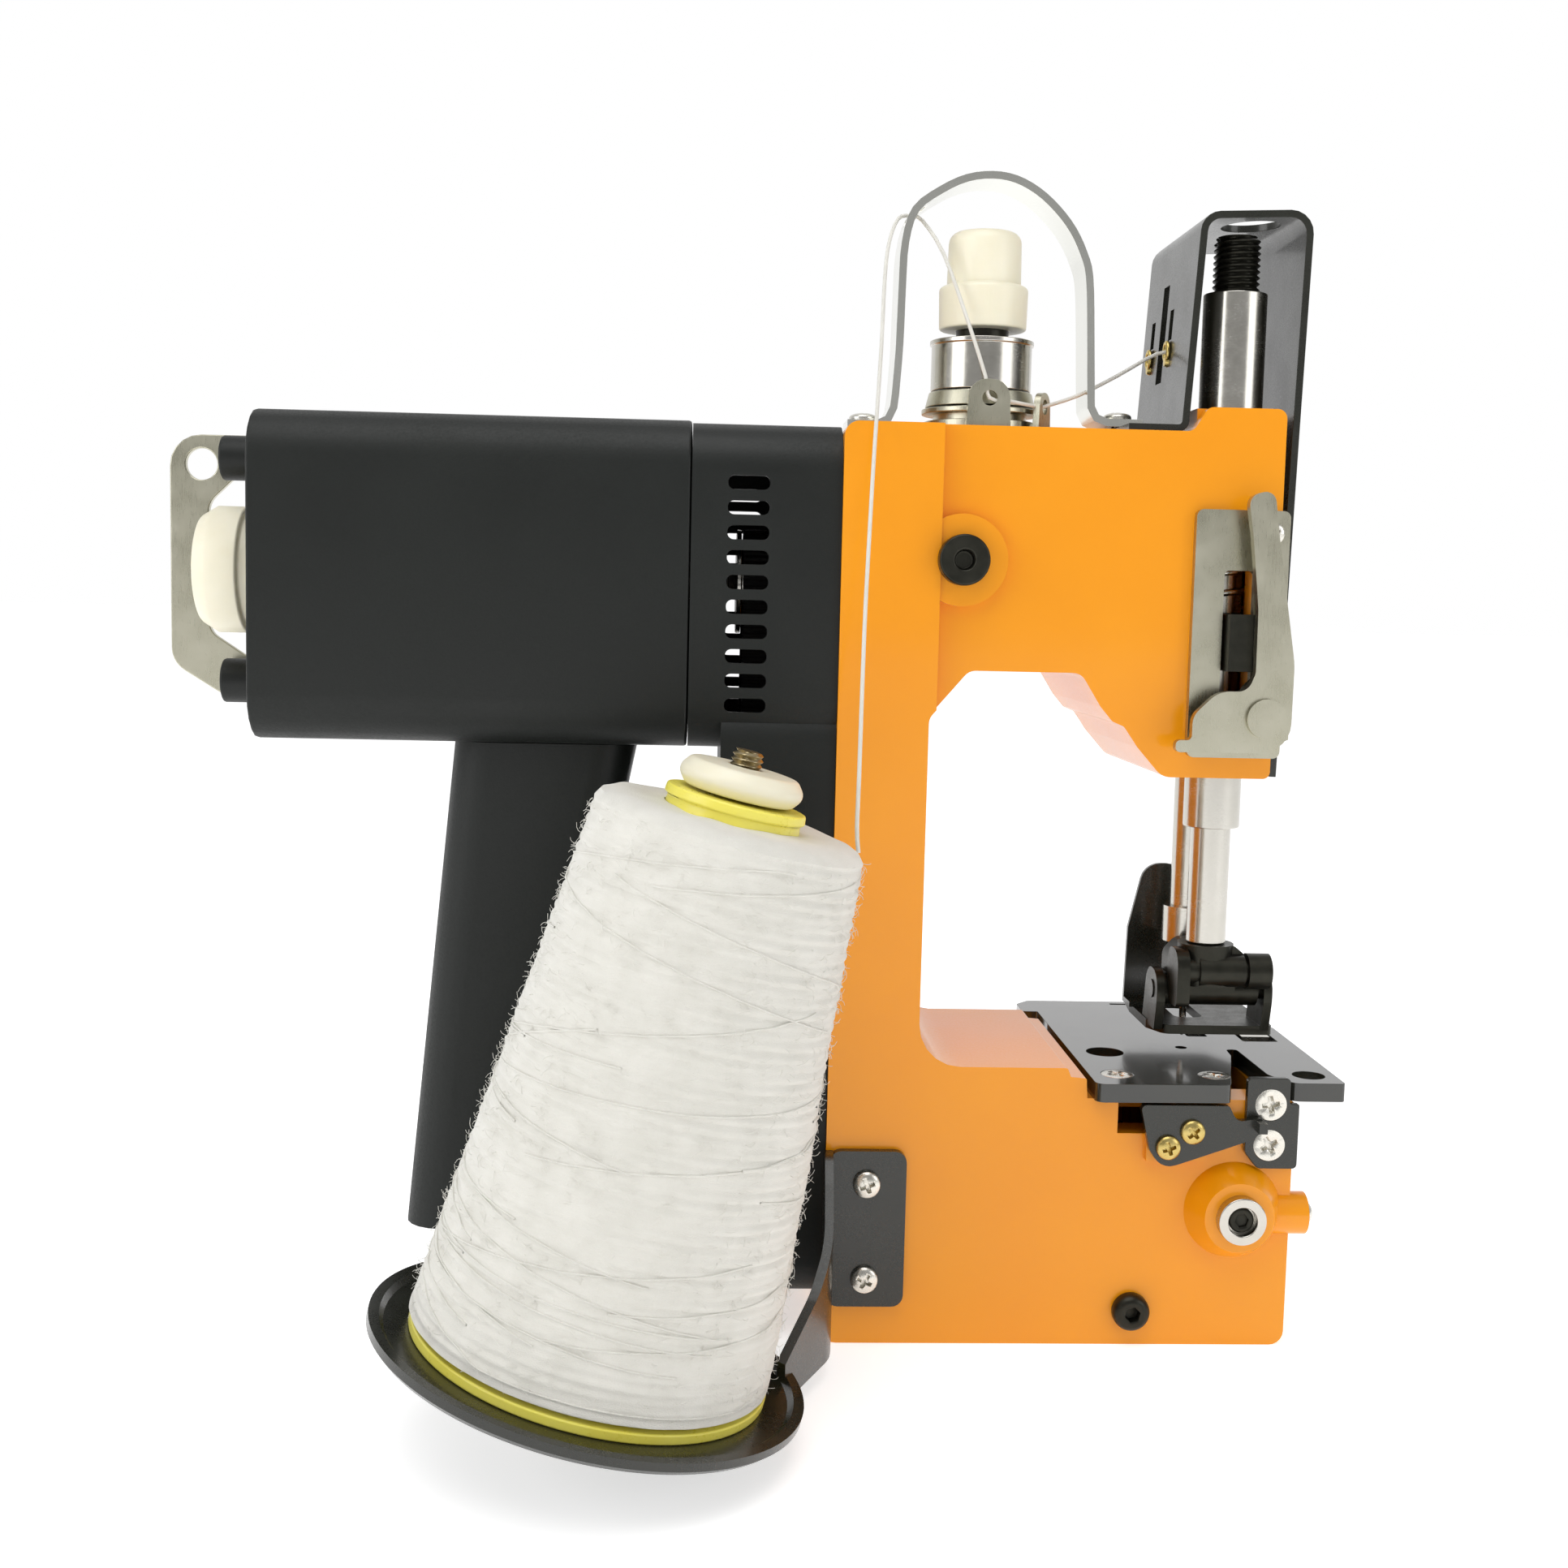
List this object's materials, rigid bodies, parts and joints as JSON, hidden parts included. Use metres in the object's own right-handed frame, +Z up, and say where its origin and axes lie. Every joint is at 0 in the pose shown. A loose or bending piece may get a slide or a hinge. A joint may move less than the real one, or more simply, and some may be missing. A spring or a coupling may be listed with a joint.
{
  "type": "portable bag closing sewing machine",
  "caption": "Hand-held single-thread bag closer: orange C-shaped casting, black motor housing with pistol grip, thread cone on a tray.",
  "frame": {"origin": "middle of the casting's base face, on the surface it stands on", "axes": "+X from the motor to the needle end, +Y away from the operator's side, +Z up along the needle bar"},
  "size_m": [0.2584, 0.1665, 0.2481],
  "materials": {
    "enamel_orange": "gloss enamel over die-cast aluminium",
    "black_nylon": "fine moulded texture",
    "black_paint": "semi-gloss black enamel",
    "black_oxide": "black oxide on steel",
    "bright_steel": "ground and polished steel",
    "nickel_plate": "satin nickel plate",
    "chrome": "chrome plate",
    "zinc_plate": "bright zinc plate",
    "yellow_zinc": "yellow zinc plate",
    "white_nylon": "natural nylon",
    "yellow_plastic": "moulded yellow plastic",
    "cotton_thread": "spun polyester thread",
    "belt_rubber": "toothed rubber belt",
    "motor_iron": "varnished laminations",
    "carbon": "pressed carbon"
  },
  "bodies": {
    "frame": {"frame_casting": "enamel_orange", "rear_cover": "enamel_orange", "cap_screws": "black_oxide", "pan_screws": "zinc_plate", "flat_screws": "zinc_plate", "cutter_screws": "yellow_zinc", "belt_cover": "black_nylon", "housing_front": "black_nylon", "housing_rear": "black_nylon", "handle_front": "black_nylon", "handle_rear": "black_nylon", "switch_body": "black_nylon", "inlet_gland": "black_nylon", "stator": "motor_iron", "carbon_brushes": "carbon", "bearing_frames": "nickel_plate", "drive_belt": "belt_rubber", "plain_bushes": "bright_steel", "lever_pivot_screw": "black_oxide", "spring_sleeve": "bright_steel", "lifter_plate": "nickel_plate", "throat_plate": "black_paint", "thread_cutter": "black_paint", "hook_plate": "black_paint", "tension_discs": "nickel_plate", "tension_spring": "bright_steel", "tension_cup": "bright_steel", "thread_guide": "nickel_plate", "carry_handle": "chrome", "needle_guard": "black_paint", "guard_eyelets": "yellow_zinc", "spool_tray": "black_paint", "spool_post": "zinc_plate", "cone_core": "yellow_plastic", "thread_winding": "cotton_thread", "thread_line": "cotton_thread", "hang_plate": "nickel_plate"},
    "motor_rotor": {"armature": "motor_iron", "fan": "black_nylon", "motor_pulley": "bright_steel", "hand_wheel": "white_nylon"},
    "drive_shaft": {"driven_pulley": "black_nylon", "main_shaft": "bright_steel"},
    "rod": {"connecting_rod": "bright_steel"},
    "lever": {"needle_lever": "bright_steel"},
    "needle_drive": {"needle_bar": "bright_steel", "needle": "bright_steel"},
    "presser": {"presser_bar": "bright_steel", "lift_block": "black_oxide", "foot_shank": "black_oxide", "presser_spring": "bright_steel"},
    "foot": {"presser_foot": "black_oxide", "finger_guard": "black_paint"},
    "lifter": {"lifter_lever": "nickel_plate"},
    "feed": {"feed_dog": "bright_steel"},
    "looper_arm": {"looper": "bright_steel"},
    "knob": {"tension_knob": "white_nylon"},
    "nut": {"spool_nut": "white_nylon"},
    "trigger_key": {"trigger": "black_nylon"},
    "adjuster": {"pressure_screw": "black_oxide"}
  },
  "joints": [
    {"name": "motor_spin", "type": "hinge", "parent": "frame", "child": "motor_rotor", "pos_m": [-0.13, 0, 0.1615], "axis": [1, 0, 0], "continuous": true},
    {"name": "drive_spin", "type": "hinge", "parent": "frame", "child": "drive_shaft", "pos_m": [-0.03, 0.001, 0.036], "axis": [1, 0, 0], "continuous": true},
    {"name": "needle_slide", "type": "slide", "parent": "frame", "child": "needle_drive", "axis": [0, 0, 1], "range_m": [-0.014, 0.008]},
    {"name": "needle_lever_rock", "type": "hinge", "parent": "frame", "child": "lever", "pos_m": [-0.025, 0.011, 0.1668], "axis": [0, -1, 0], "range_deg": [-14.5, 8.5]},
    {"name": "connecting_rod_slide", "type": "slide", "parent": "frame", "child": "rod", "axis": [0, 0, 1], "range_m": [-0.0024, 0.0041]},
    {"name": "looper_swing", "type": "hinge", "parent": "frame", "child": "looper_arm", "pos_m": [0.0375, 0.009, 0.03], "axis": [0, 1, 0], "range_deg": [-8, 13]},
    {"name": "feed_slide", "type": "slide", "parent": "frame", "child": "feed", "axis": [0, 1, 0], "range_m": [-0.0016, 0.0016]},
    {"name": "lifter_turn", "type": "hinge", "parent": "frame", "child": "lifter", "pos_m": [0.038, -0.031, 0.1357], "axis": [0, 1, 0], "range_deg": [0, 85.5]},
    {"name": "presser_slide", "type": "slide", "parent": "frame", "child": "presser", "axis": [0, 0, 1], "range_m": [-0.004, 0], "deforming": ["presser_spring"]},
    {"name": "foot_tilt", "type": "hinge", "parent": "presser", "child": "foot", "pos_m": [0.033, -0.009, 0.074], "axis": [1, 0, 0], "range_deg": [-3, 3], "stiffness_Nm_per_rad": 0.05},
    {"name": "pressure_turn", "type": "hinge", "parent": "frame", "child": "adjuster", "pos_m": [0.033, -0.014, 0.23], "axis": [0, 0, 1], "range_deg": [-180, 180]},
    {"name": "tension_turn", "type": "hinge", "parent": "frame", "child": "knob", "pos_m": [-0.0195, -0.007, 0.225], "axis": [0, 0, 1], "continuous": true},
    {"name": "spool_nut_turn", "type": "hinge", "parent": "frame", "child": "nut", "pos_m": [-0.07136, -0.075, 0.12235], "axis": [0.2377, 0, 0.9713], "continuous": true},
    {"name": "trigger_pull", "type": "slide", "parent": "frame", "child": "trigger_key", "axis": [-1, 0, 0], "range_m": [0, 0.004], "stiffness_N_per_m": 600, "springref_m": -0.001}
  ],
  "couplings": [
    {"joint": "drive_spin", "follows": "motor_spin", "ratio": 0.45},
    {"joint": "needle_lever_rock", "follows": "needle_slide", "rad_per_m": 17.241},
    {"joint": "connecting_rod_slide", "follows": "needle_slide", "ratio": -0.27586},
    {"joint": "looper_swing", "follows": "needle_slide", "rad_per_m": -15},
    {"joint": "feed_slide", "follows": "needle_slide", "ratio": 0.1},
    {"joint": "lifter_turn", "follows": "presser_slide", "rad_per_m": -370.88}
  ]
}
